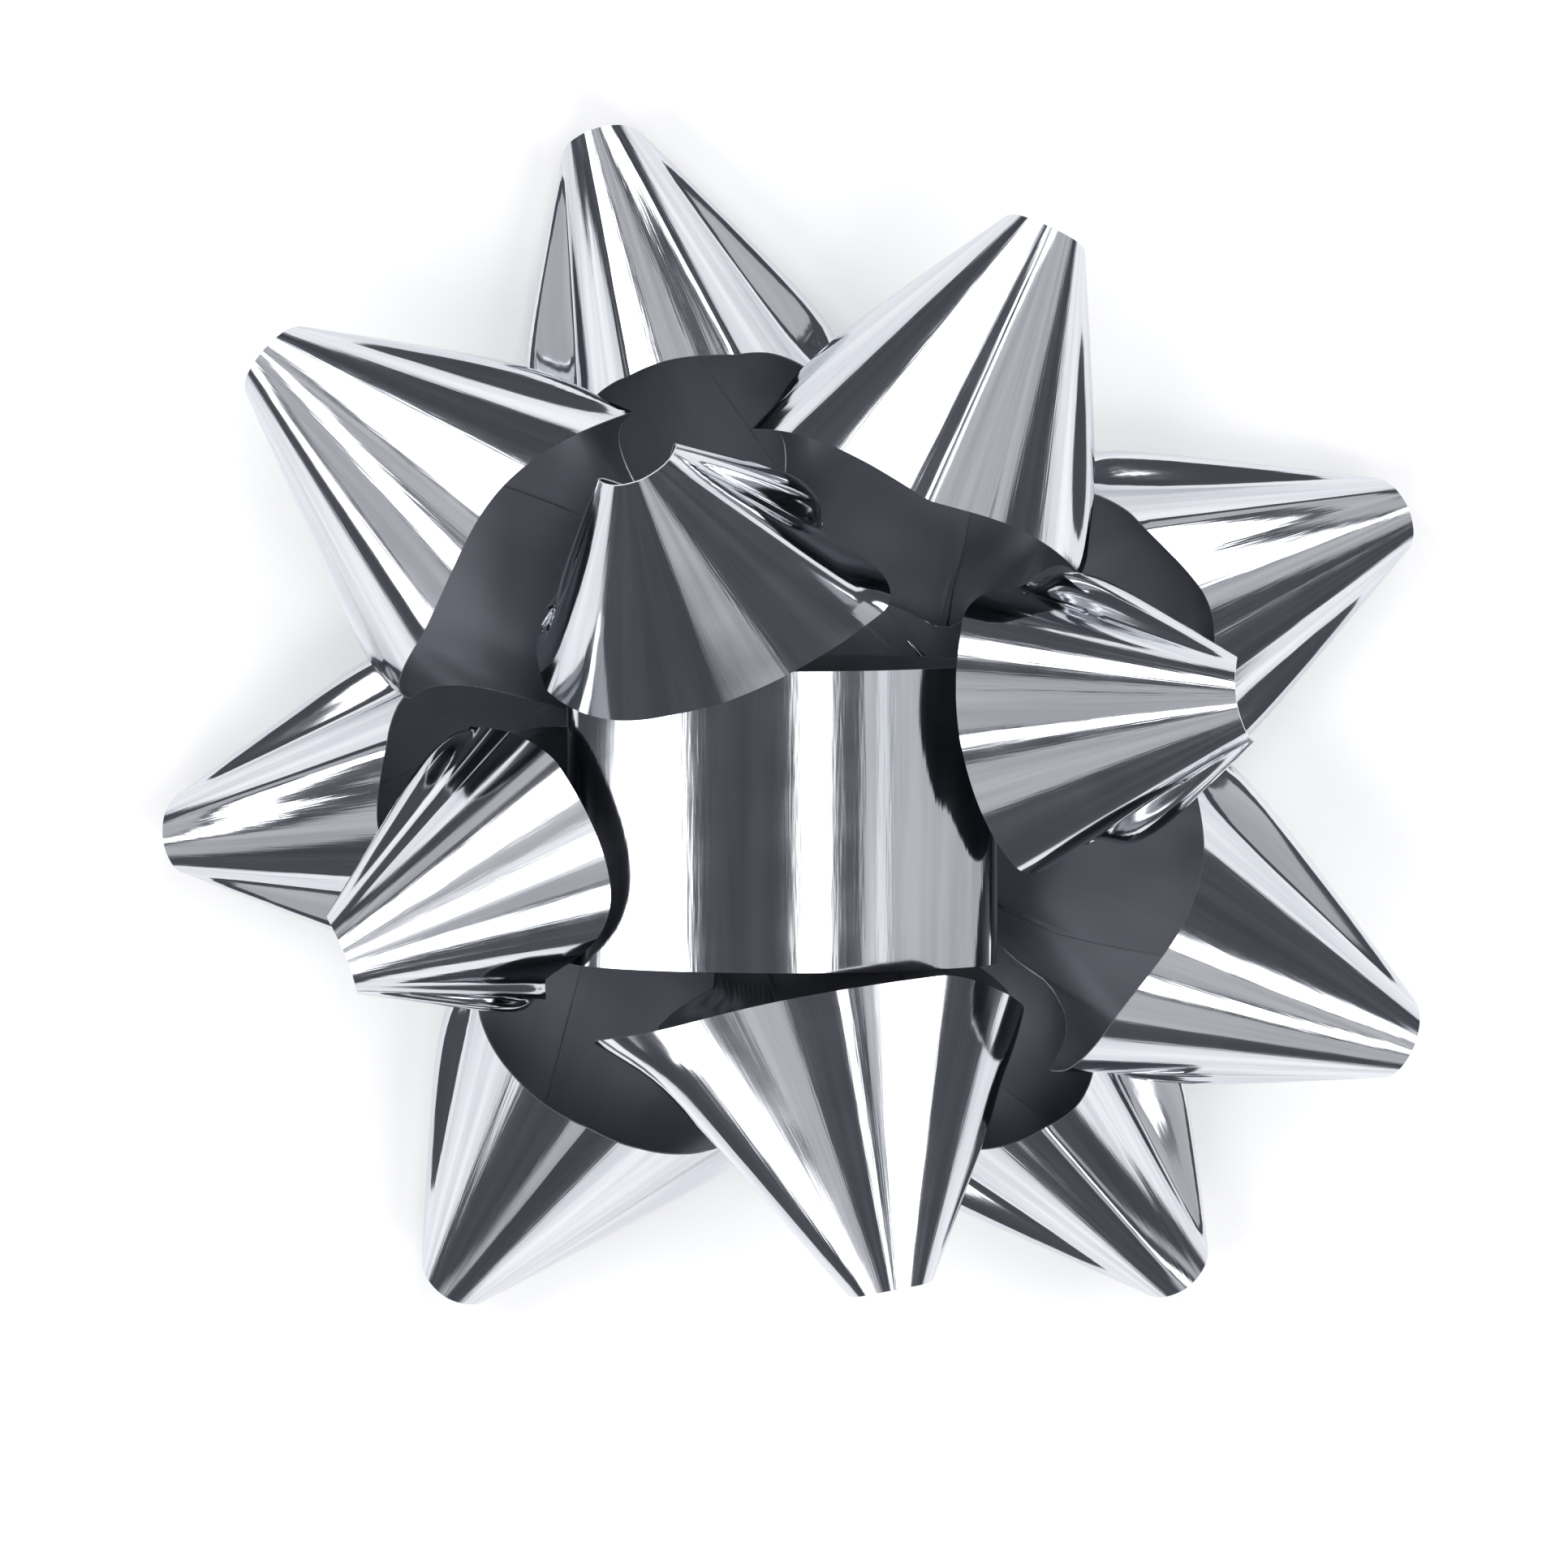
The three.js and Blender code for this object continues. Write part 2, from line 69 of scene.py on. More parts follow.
BEND_LENGTH = 4.0
SECTION_HALF_WIDTH = 28.5  # degrees seen from the point of a loop
CORNER_WIDTH = 8.0
CORNER_HEIGHT = 6.0

STACK_RADIUS = 9.0
PRESS_RADIUS = 13.0
PRESS_LIFT_RADIUS = 19.0  # nearer than this the floors keep their own heights
PRESS_GAP = 0.3
PRESS_SHARPNESS = 6
NARROWEST_PRESS = math.radians(4)
SOFT_PUSH = 5  # how abruptly the centre loop's push dies out
HARD_PUSH = 30  # moves only what is still inside it
TIER_TILT = 0.8  # how far the planes between two tiers lean, so that one lies on the other
UPPER_BIAS = math.radians(4)  # a loop of a higher tier pushes its neighbours this far aside

FLUTES = 15  # creases round a loop
FLUTE_SLOPE = 0.0055  # how far a flute stands proud, as a share of the distance from the point

CENTRE_LOOP_WIDTH = 26.0
CENTRE_LOOP_HEIGHT = 9.0
CENTRE_LOOP_OVERLAP = 16.0  # degrees that each end runs past the bottom
CENTRE_LOOP_LAP = 0.3  # how much lower the inner end lies
CENTRE_LOOP_X = -0.7
CENTRE_LOOP_Y = -2.7
CENTRE_LOOP_GAP = 0.9  # to the pointed loops that it pushes aside
CENTRE_LOOP_EDGE = 7.0  # how far past the edge of its ribbon the push dies out

# name, azimuth in degrees, distance of the tip, slope in degrees, where the floor starts to rise
LOOPS = [
    ("lower_1", 21.4, 39.5, 1, 13),
    ("lower_2", 107.4, 39, 2, 13),
    ("lower_3", 188, 38, 1, 13),
    ("lower_4", 237.6, 39, 1, 13),
    ("lower_5", 306.4, 40, 2, 13),
    ("middle_1", 335.7, 40.5, 17, 12),
    ("middle_2", 141.5, 40, 17, 12),
    ("middle_3", 65, 36, 22, 12),
    ("middle_4", 201, 29, 46, 13.5),
    ("middle_5", 281, 31, 43, 12.5),
    ("upper_1", 11.7, 27.5, 54, 13),
    ("upper_2", 114.6, 22, 63, 10),
]
RANKS = {"lower": 0, "middle": 1, "upper": 2}
CENTRE_BOTTOM = STACK_BOTTOM + (len(LOOPS) + 0.25) * LAYER

CAMERA_TILT = math.radians(7.5)
CAMERA_DISTANCE = 0.42
VIEW_WIDTH = 0.094
CAMERA_LENS = 36 * CAMERA_DISTANCE / VIEW_WIDTH


def smooth(value, low, high):
    share = np.clip((value - low) / (high - low), 0, 1)
    return share * share * (3 - 2 * share)


# ---- The cross-section of a pointed loop ----
def direction_at(side_degrees, up_degrees):
    side = np.radians(side_degrees)
    up = np.radians(up_degrees)
    off = np.hypot(side, up)
    share = np.sinc(off / math.pi)
    return np.stack([np.cos(off), side * share, up * share], axis=-1)


def half_section(arch_height):
    """Directions from the top of the arch to the middle of the floor, and the angle turned."""
    down = np.linspace(math.pi / 2, 0, 120)
    rise = arch_height - CORNER_HEIGHT
    arch = np.stack([SECTION_HALF_WIDTH * np.cos(down), CORNER_HEIGHT + rise * np.sin(down)], -1)
    under = np.linspace(0, -math.pi / 2, 50)[1:]
    inner = SECTION_HALF_WIDTH - CORNER_WIDTH
    corner_side = inner + CORNER_WIDTH * np.cos(under)
    corner_up = CORNER_HEIGHT + CORNER_HEIGHT * np.sin(under)
    corner = np.stack([corner_side, corner_up], -1)
    floor = np.stack([np.linspace(inner, 0, 50)[1:], np.zeros(49)], -1)
    outline = np.concatenate([arch, corner, floor])
    directions = direction_at(outline[:, 0], outline[:, 1])
    cosines = np.clip((directions[1:] * directions[:-1]).sum(1), -1, 1)
    turned = np.concatenate([[0], np.cumsum(np.arccos(cosines))])
    return directions, turned


def fitted_section(crossing):
    """The half-section whose length is the angle the ribbon turns before its ends cross."""
    low, high = CORNER_HEIGHT + 1, 60
    for _ in range(40):
        middle = (low + high) / 2
        if half_section(middle)[1][-1] < crossing:
            low = middle
        else:
            high = middle
    return half_section((low + high) / 2)


# ---- A pointed loop ----
class Loop:
    """One pointed loop, with what follows from its row in LOOPS."""

    def __init__(self, index, row):
        self.name, azimuth, tip, slope, self.bend_at = row
        self.index = index
        self.azimuth = math.radians(azimuth)
        self.slope = math.radians(slope)
        self.bend_radius = BEND_LENGTH / self.slope
        flat = self.bend_at + self.bend_radius * math.sin(self.slope)
        self.straight = (tip + TIP_OPENING * math.cos(self.slope) - flat) / math.cos(self.slope)
        self.reach = self.bend_at + BEND_LENGTH + self.straight
        self.crossing = math.acos((TIP_OPENING + RIBBON_WIDTH / 2) / self.reach)
        self.height = STACK_BOTTOM + (index + 0.5) * LAYER
        self.directions, self.turned = fitted_section(self.crossing)
        self.rank = RANKS[self.name.split("_")[0]]
        self.planes = []

    def line_directions(self, angles):
        """Directions of the ribbon's straight lines that leave the point at these angles."""
        turn = np.abs(angles)
        hand = np.where(angles < 0, -1.0, 1.0)
        found = [np.interp(turn, self.turned, self.directions[:, k]) for k in range(3)]
        direction = np.stack(found, -1)
        direction /= np.linalg.norm(direction, axis=-1, keepdims=True)
        past = np.maximum(turn - self.crossing, 0)
        crossed = np.stack([np.cos(past), -np.sin(past), np.zeros_like(past)], -1)
        direction = np.where((past > 0)[..., None], crossed, direction)
        direction[..., 1] *= hand
        return direction

    def rolled_up(self, along, up):
        """Rolls the floor up from the flat stack to its slope."""
        past = along - self.bend_at
        turn = self.slope * np.clip(past / BEND_LENGTH, 0, 1)
        straight = np.maximum(past - BEND_LENGTH, 0)
        inner = self.bend_radius - up
        rolled_along = self.bend_at + inner * np.sin(turn) + straight * np.cos(turn)
        rolled_up = self.bend_radius - inner * np.cos(turn) + straight * np.sin(turn)
        flat = past <= 0
        return np.where(flat, along, rolled_along), np.where(flat, up, rolled_up)

    def free_points(self, along, side, up):
        along, up = self.rolled_up(along, up)
        cosine, sine = math.cos(self.azimuth), math.sin(self.azimuth)
        across = along * sine + side * cosine
        return np.stack([along * cosine - side * sine, across, up + self.height], -1)

    def free_line_points(self, angles, from_point):
        offset = self.line_directions(angles) * from_point[..., None]
        return self.free_points(self.reach - offset[..., 0], offset[..., 1], offset[..., 2])


def find_bodies(loops):
    """The direction of the middle of each loop's body from the middle of the stack."""
    angles, shares = np.meshgrid(np.radians([-60, -30, 0, 30, 60]), [0.3, 0.9])
    for loop in loops:
        mean = loop.free_line_points(angles, TIP_OPENING + shares * RIBBON_WIDTH).mean((0, 1))
        mean[2] -= loop.height
        loop.body = mean / np.linalg.norm(mean)


def find_planes(loops):
    """The planes between each loop and every other one, which it stays behind."""
    find_bodies(loops)
    for loop in loops:
        for other in loops:
            if other is loop:
                continue
            between = math.acos(np.clip(loop.body @ other.body, -1, 1))
            sideways = other.body - (loop.body @ other.body) * loop.body
            sideways /= np.linalg.norm(sideways)
            share = between / 2 + UPPER_BIAS * (loop.rank - other.rank)
            border = loop.body * math.cos(share) + sideways * math.sin(share)
            normal = sideways * math.cos(share) - loop.body * math.sin(share)
            normal[2] += TIER_TILT * np.sign(other.rank - loop.rank)
            normal -= (normal @ border) * border
            normal /= np.linalg.norm(normal)
            loop.planes.append((normal, normal[2] * (loop.height + other.height) / 2))


def widest_angle(loop, foot, sideways, distance):
    widest = np.full(distance.shape, math.pi)
    for normal, offset in loop.planes:
        along_body = normal @ loop.body
        along_side = sideways @ normal
        size = np.hypot(along_body, along_side)
        share = (offset - PRESS_GAP - normal @ foot) / (distance * size)
        angle = np.arctan2(along_side, along_body) - np.arccos(np.clip(share, -1, 1))
        counts = (np.abs(share) < 1) & (angle > 0)
        widest = np.where(counts, np.minimum(widest, angle), widest)
    return np.maximum(widest, NARROWEST_PRESS)


def pressed(loop, free):
    """Presses the points of a loop in between its neighbours."""
    foot = np.array([0, 0, loop.height])
    offset = free - foot
    distance = np.maximum(np.linalg.norm(offset, axis=-1), 1e-6)
    along = offset @ loop.body
    sideways = offset - along[..., None] * loop.body
    off_axis = np.linalg.norm(sideways, axis=-1)
    off = np.arctan2(off_axis, along)
    sideways = sideways / np.maximum(off_axis, 1e-9)[..., None]
    limit = widest_angle(loop, foot, sideways, distance)
    least = off / (1 + (off / limit) ** PRESS_SHARPNESS) ** (1 / PRESS_SHARPNESS)
    kept = off + (least - off) * smooth(distance, STACK_RADIUS, PRESS_RADIUS)
    moved = foot + loop.body * (distance * np.cos(kept))[..., None]
    moved = moved + sideways * (distance * np.sin(kept))[..., None]
    lift = smooth(distance, PRESS_RADIUS, PRESS_LIFT_RADIUS)
    moved[..., 2] = free[..., 2] + (moved[..., 2] - free[..., 2]) * lift
    return moved


def clear_of_centre_loop(points, sharpness):
    """Pushes points outwards, round the axis of the centre loop, until they're outside it.

    The sharper the push, the less it moves points that are outside already.
    """
    wide = CENTRE_LOOP_WIDTH / 2 + CENTRE_LOOP_GAP
    tall = CENTRE_LOOP_HEIGHT / 2 + CENTRE_LOOP_GAP
    middle = CENTRE_BOTTOM + CENTRE_LOOP_HEIGHT / 2
    x = points[..., 0] - CENTRE_LOOP_X
    z = points[..., 2] - middle
    within = np.maximum(np.hypot(x / wide, z / tall), 1e-6)
    past_edge = np.abs(points[..., 1] - CENTRE_LOOP_Y) - RIBBON_WIDTH / 2 - CENTRE_LOOP_GAP
    pushed = (1 + within**sharpness) ** (1 / sharpness)
    push = 1 - smooth(past_edge, 0, CENTRE_LOOP_EDGE)
    rise = smooth(points[..., 2], CENTRE_BOTTOM, CENTRE_BOTTOM + LAYER)
    scale = 1 + (pushed / within - 1) * push * rise
    points[..., 0] = CENTRE_LOOP_X + x * scale
    points[..., 2] = middle + z * scale
    return points


def flutes(loop, angles):
    """The creases that run from the tip: flat strips of uneven width between soft ridges."""
    draw = np.random.default_rng(100 + loop.index)
    reach = loop.crossing * 1.3
    spots = np.linspace(-reach, reach, FLUTES)
    spots = spots + draw.uniform(-0.3, 0.3, FLUTES) * (spots[1] - spots[0])
    heights = draw.uniform(0.35, 1.0, FLUTES) * np.where(np.arange(FLUTES) % 2, 1, -1)
    knots = np.interp(angles, spots, heights)
    return FLUTE_SLOPE * knots


def straightened(points, shares, rise):
    """Makes every line of the walls straight from the tip to the mouth, as stiff film bends."""
    first, last = points[:, :1], points[:, -1:]
    chords = first + (last - first) * shares[:, None]
    on_wall = smooth(rise, 0.12, 0.22)[:, None, None]
    return points + (chords - points) * on_wall


def ribbon_points(loop):
    """The middle of the film on a grid of straight lines: one row for each line."""
    end = math.acos(TIP_OPENING / (loop.reach + FLOOR_PAST_CENTRE)) - 0.02
    angles = np.linspace(end, -end, TURN_STEPS + 1)
    direction = loop.line_directions(angles)
    start = TIP_OPENING / np.cos(angles)
    mouth = (TIP_OPENING + RIBBON_WIDTH) / np.cos(angles)
    wall = min(WALL_END, loop.straight + 1) / direction[:, 0]
    on_wall = smooth(direction[:, 2], 0.0, 0.12)
    floor = np.minimum(mouth, loop.reach + FLOOR_PAST_CENTRE)
    stop = floor + (np.minimum(wall, mouth) - floor) * on_wall
    shares = np.linspace(0, 1, LENGTH_STEPS + 1)
    from_point = start[:, None] + (stop - start)[:, None] * shares
    grid_angles = np.repeat(angles[:, None], LENGTH_STEPS + 1, axis=1)
    points = pressed(loop, loop.free_line_points(grid_angles, from_point))
    points = clear_of_centre_loop(points, SOFT_PUSH)
    points = straightened(points, shares, direction[:, 2])
    points = clear_of_centre_loop(points, HARD_PUSH)
    normals = grid_normals(points)
    on_floor = smooth(from_point, 16, 24) * (1 - on_wall)[:, None]
    proud = flutes(loop, angles)[:, None] * from_point * (1 - on_floor)
    points = points + normals * proud[..., None]
    tail = smooth(np.abs(angles), loop.crossing - math.radians(16), loop.crossing)
    points[..., 2] += (np.sign(angles) * TAIL_LIFT * tail)[:, None]
    return points


def grid_normals(points):
    along_turn = np.gradient(points, axis=0)
    along_line = np.gradient(points, axis=1)
    normals = np.cross(along_line, along_turn)
    return normals / np.maximum(np.linalg.norm(normals, axis=-1, keepdims=True), 1e-12)


# ---- Meshes ----
def new_object(name, vertices, faces):
    mesh = bpy.data.meshes.new(name)
    mesh.from_pydata([tuple(v) for v in vertices], [], faces)
    mesh.update()
    obj = bpy.data.objects.new(name, mesh)
    bpy.context.scene.collection.objects.link(obj)
    return obj


def shade_smooth(obj, angle):
    obj.data.shade_smooth()
    obj.data.set_sharp_from_angle(angle=math.radians(angle))


def object_from(work, name, material, sharp_angle):
    mesh = bpy.data.meshes.new(name)
    work.to_mesh(mesh)
    work.free()
    piece = bpy.data.objects.new(name, mesh)
    bpy.context.scene.collection.objects.link(piece)
    piece.data.materials.append(material)
    shade_smooth(piece, sharp_angle)
    return piece


def solid_through(rings, name, material, sharp_angle):
    """A closed solid through rings of points in metres, with flat ends."""
    work = bmesh.new()
    rings = [[work.verts.new(point) for point in ring] for ring in rings]
    for ring, after in zip(rings, rings[1:]):
        for k in range(len(ring)):
            n = (k + 1) % len(ring)
            work.faces.new((ring[k], ring[n], after[n], after[k]))
    work.faces.new(rings[0])
    work.faces.new(rings[-1])
    bmesh.ops.recalc_face_normals(work, faces=work.faces)
    return object_from(work, name, material, sharp_angle)


def film_object(name, points, materials):
    """A film round a grid of points: the outer face, the inner face and the cut edges."""
    rows, columns = points.shape[:2]
    normals = grid_normals(points)
    walls = [points + normals * FILM / 2, points - normals * FILM / 2]
    vertices = np.concatenate([wall.reshape(-1, 3) for wall in walls]) * MM
    under = rows * columns
    faces = []
    slots = []

    def cell(i, j):
        first = i * columns + j
        return first, first + columns, first + columns + 1, first + 1

    for i in range(rows - 1):
        for j in range(columns - 1):
            a, b, c, d = cell(i, j)
            faces += [(a, d, c, b), (a + under, b + under, c + under, d + under)]
            slots += [0, 1]
    for i in range(rows - 1):
        for j, flip in ((0, False), (columns - 1, True)):
            a = i * columns + j
            b = a + columns
            edge = (a, b, b + under, a + under)
            faces.append(edge[::-1] if flip else edge)
            slots.append(2)
    for j in range(columns - 1):
        for i, flip in ((0, True), (rows - 1, False)):
            a = i * columns + j
            b = a + 1
            edge = (a, b, b + under, a + under)
            faces.append(edge[::-1] if flip else edge)
            slots.append(2)
    obj = new_object(name, vertices, faces)
    for material in materials:
        obj.data.materials.append(material)
    obj.data.polygons.foreach_set("material_index", slots)
    across, along = np.meshgrid(np.linspace(0, 1, columns), np.linspace(0, 1, rows))
    places = np.stack([along, across], -1).reshape(-1, 2)
    places = np.concatenate([places, places])
    layer = obj.data.uv_layers.new(name="ribbon")
    corners = np.empty(len(obj.data.loops), dtype=np.int32)
    obj.data.loops.foreach_get("vertex_index", corners)
    layer.data.foreach_set("uv", places[corners].ravel())
    shade_smooth(obj, 60)
    return obj


# ---- Materials ----
def new_material(name):
    material = bpy.data.materials.new(name)
    material.use_nodes = True
    nodes = material.node_tree.nodes
    return material, nodes, material.node_tree.links, nodes["Principled BSDF"]


def add_ramp(nodes, stops):
    ramp = nodes.new("ShaderNodeValToRGB")
    while len(ramp.color_ramp.elements) < len(stops):
        ramp.color_ramp.elements.new(0.5)
    for element, (position, colour) in zip(ramp.color_ramp.elements, stops):
        element.position = position
        element.color = (*colour, 1)
    return ramp


def stretched_noise(nodes, links, scale, detail, coordinate="UV"):
    place = nodes.new("ShaderNodeTexCoord")
    mapping = nodes.new("ShaderNodeMapping")
    mapping.inputs["Scale"].default_value = scale
    noise = nodes.new("ShaderNodeTexNoise")
    noise.inputs["Scale"].default_value = 1.0
    noise.inputs["Detail"].default_value = detail
    links.new(place.outputs[coordinate], mapping.inputs["Vector"])
    links.new(mapping.outputs["Vector"], noise.inputs["Vector"])
    return noise


def add_bump(nodes, links, height, shader, strength, distance):
    bump = nodes.new("ShaderNodeBump")
    bump.inputs["Strength"].default_value = strength
    bump.inputs["Distance"].default_value = distance
    links.new(height, bump.inputs["Height"])
    links.new(bump.outputs["Normal"], shader.inputs["Normal"])


def range_of(nodes, links, value, low, high):
    mapped = nodes.new("ShaderNodeMapRange")
    mapped.inputs["To Min"].default_value = low
    mapped.inputs["To Max"].default_value = high
    links.new(value, mapped.inputs["Value"])
    return mapped.outputs["Result"]


def film_material(name, dark, light, rough_low, rough_high):
    """Metallised film: faint painted reflection streaks of darker and lighter silver in the base
    colour along the creases, with a rolled micro-texture.
    """
    material, nodes, links, shader = new_material(name)
    # Painted reflection: the darker and lighter silver stripes along the creases stand in for the
    # streaked reflections of the softboxes.
    painted_reflection_streaks = stretched_noise(nodes, links, (46, 0.6, 1), 3)
    ramp = add_ramp(nodes, [(0.35, dark), (0.65, light)])
    links.new(painted_reflection_streaks.outputs["Fac"], ramp.inputs["Fac"])
    links.new(ramp.outputs["Color"], shader.inputs["Base Color"])
    shader.inputs["Metallic"].default_value = 1.0
    patches = stretched_noise(nodes, links, (14, 5, 1), 4)
    roughness = range_of(nodes, links, patches.outputs["Fac"], rough_low, rough_high)
    links.new(roughness, shader.inputs["Roughness"])
    grain = stretched_noise(nodes, links, (240, 3, 1), 2)
    add_bump(nodes, links, grain.outputs["Fac"], shader, 0.12, 0.00004)
    return material


def inside_material():
    """The inner face of the film: a dark smoky grey base colour over the metal, painted shade for
    the shaded insides of the loops.
    """
    material, nodes, links, shader = new_material("film_inside")
    shade_and_roughness_mottle = stretched_noise(nodes, links, (9, 2, 1), 3)
    # Painted shade: these dark greys stand in for the shade that falls inside the loops.
    ramp = add_ramp(nodes, [(0.3, (0.11, 0.117, 0.145)), (0.7, (0.15, 0.158, 0.19))])
    links.new(shade_and_roughness_mottle.outputs["Fac"], ramp.inputs["Fac"])
    links.new(ramp.outputs["Color"], shader.inputs["Base Color"])
    shader.inputs["Metallic"].default_value = 0.35
    roughness = range_of(nodes, links, shade_and_roughness_mottle.outputs["Fac"], 0.34, 0.5)
    links.new(roughness, shader.inputs["Roughness"])
    return material


def edge_material():
    material, nodes, links, shader = new_material("film_edge")
    nicks = stretched_noise(nodes, links, (300, 300, 1), 2)
    ramp = add_ramp(nodes, [(0.3, (0.55, 0.57, 0.6)), (0.7, (0.9, 0.91, 0.93))])
    links.new(nicks.outputs["Fac"], ramp.inputs["Fac"])
    links.new(ramp.outputs["Color"], shader.inputs["Base Color"])
    shader.inputs["Metallic"].default_value = 0.8
    shader.inputs["Roughness"].default_value = 0.3
    return material


def wire_material():
    material, nodes, links, shader = new_material("staple_wire")
    drawn = stretched_noise(nodes, links, (400, 2500, 2500), 3, "Object")
    ramp = add_ramp(nodes, [(0.3, (0.46, 0.47, 0.49)), (0.7, (0.68, 0.69, 0.7))])
    links.new(drawn.outputs["Fac"], ramp.inputs["Fac"])
    links.new(ramp.outputs["Color"], shader.inputs["Base Color"])
    shader.inputs["Metallic"].default_value = 1.0
    links.new(range_of(nodes, links, drawn.outputs["Fac"], 0.2, 0.38), shader.inputs["Roughness"])
    return material


def paper_material(name, dark, light, scale, rough_low, rough_high, bump):
    """Card, paper or foam: mottled colour, uneven roughness and a fine surface relief."""
    material, nodes, links, shader = new_material(name)
    mottle = stretched_noise(nodes, links, (scale, scale, scale), 6, "Object")
    ramp = add_ramp(nodes, [(0.3, dark), (0.7, light)])
    links.new(mottle.outputs["Fac"], ramp.inputs["Fac"])
    links.new(ramp.outputs["Color"], shader.inputs["Base Color"])
    roughness = range_of(nodes, links, mottle.outputs["Fac"], rough_low, rough_high)
    links.new(roughness, shader.inputs["Roughness"])
    add_bump(nodes, links, mottle.outputs["Fac"], shader, 0.5, bump)
    return material


# The outer film's two colours are painted reflection streaks, darker and lighter silver.
FILM_OUT = film_material("film_outside", (0.56, 0.58, 0.62), (0.76, 0.77, 0.8), 0.05, 0.14)
# The inner face is painted shade: dark grey for the shaded insides of the loops.
FILM_IN = inside_material()
FILM_EDGE = edge_material()
WIRE_METAL = wire_material()
CARD = paper_material("card", (0.74, 0.72, 0.66), (0.86, 0.85, 0.8), 900, 0.75, 0.92, 0.00005)
FOAM = paper_material("foam", (0.84, 0.83, 0.8), (0.95, 0.94, 0.92), 2600, 0.8, 0.95, 0.00012)
LINER = paper_material("liner", (0.86, 0.85, 0.8), (0.94, 0.93, 0.9), 500, 0.3, 0.45, 0.00002)


def add_pointed_loop(loop):
    points = ribbon_points(loop)
    piece = film_object(f"ribbon_{loop.name}", points, [FILM_OUT, FILM_IN, FILM_EDGE])
    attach(piece, "bow")
    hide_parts(f"loop_{loop.name}")


def add_centre_loop():
    rows, columns = 200, 24
    turn, across = np.meshgrid(np.linspace(-1, 1, rows), np.linspace(0, 1, columns), indexing="ij")
    angle = turn * math.radians(180 + CENTRE_LOOP_OVERLAP) + math.pi / 2
    drop = (turn + 1) / 2 * CENTRE_LOOP_LAP
    draw = np.random.default_rng(7)
    spots = np.linspace(-1, 1, 17)
    dents = np.interp(turn, spots, draw.uniform(-0.16, 0.16, 17))
    wide = CENTRE_LOOP_WIDTH / 2 - drop + dents
    tall = CENTRE_LOOP_HEIGHT / 2 - drop + dents
    points = np.stack(
        [
            CENTRE_LOOP_X + wide * np.cos(angle),
            CENTRE_LOOP_Y + (across - 0.5) * RIBBON_WIDTH,
            CENTRE_BOTTOM + CENTRE_LOOP_HEIGHT / 2 + tall * np.sin(angle),
        ],
        -1,
    )
    piece = film_object("ribbon_centre", points, [FILM_OUT, FILM_IN, FILM_EDGE])
    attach(piece, "bow")
    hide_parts("loop_centre")


# ---- The fastening ----
def rounded_path(corners, radius, steps=6):
    """A path through these corners, each rounded off."""
    path = [Vector(corners[0])]
    for before, here, after in zip(corners, corners[1:], corners[2:]):
        corner = Vector(here)
        start = corner + (Vector(before) - corner).normalized() * radius
        end = corner + (Vector(after) - corner).normalized() * radius
        for step in range(steps + 1):
            share = step / steps
            path.append(start.lerp(corner, share).lerp(corner.lerp(end, share), share))
    path.append(Vector(corners[-1]))
    return path


def add_staple():
    """A round wire with a crown, two legs and two ends clinched under the card."""
    low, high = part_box("staple")
    half = STAPLE_SPAN / 2 * MM
    radius = WIRE / 2 * MM
    top = high[2] - radius
    bottom = low[2] + radius
    inner = WIRE * MM
    corners = [(-inner, 0, bottom), (-half, 0, bottom), (-half, 0, top)]
    corners += [(half, 0, top), (half, 0, bottom), (inner, 0, bottom)]
    path = rounded_path(corners, 1.3 * radius)
    rings = []
    for i, point in enumerate(path):
        ahead = path[min(i + 1, len(path) - 1)] - path[max(i - 1, 0)]
        ahead.normalize()
        across = ahead.cross(Vector((0, 1, 0))).normalized()
        ring = []
        for k in range(WIRE_SIDES):
            angle = 2 * math.pi * k / WIRE_SIDES
            offset = across * math.cos(angle) + Vector((0, 1, 0)) * math.sin(angle)
            ring.append(point + offset * radius * 0.96)
        rings.append(ring)
    piece = solid_through(rings, "wire_staple", WIRE_METAL, 50)
    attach(piece, "bow")
    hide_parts("staple")


def round_plate(name, outline, material):
    """A closed solid turned round the Z axis from (radius, height) pairs in millimetres."""
    rings = []
    for radius, height in outline:
        ring = []
        for k in range(PLATE_SIDES):
            angle = 2 * math.pi * k / PLATE_SIDES
            x, y = radius * math.cos(angle), radius * math.sin(angle)
            ring.append((x * MM, y * MM, height * MM))
        rings.append(ring)
    return solid_through(rings, name, material, 35)


def edge_outline(diameter, bottom, thickness, bulge, rounding):
    """From the underside round the rim to the top; bulge is how far the rim stands out."""
    radius = diameter / 2
    outline = [(radius * 0.5, bottom), (radius - rounding, bottom)]
    for step in range(9):
        angle = -math.pi / 2 + math.pi * step / 8
        height = bottom + thickness / 2 + thickness / 2 * math.sin(angle)
        outline.append((radius - rounding + (rounding + bulge) * math.cos(angle), height))
    outline += [(radius - rounding, bottom + thickness), (radius * 0.5, bottom + thickness)]
    return outline


def add_pad():
    low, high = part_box("adhesive_pad")
    thickness = (high[2] - low[2]) / MM
    outline = edge_outline(PAD_DIAMETER, low[2] / MM, thickness, -0.02, 0.25)
    piece = round_plate("foam_pad", outline, FOAM)
    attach(piece, "bow")
    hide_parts("adhesive_pad")


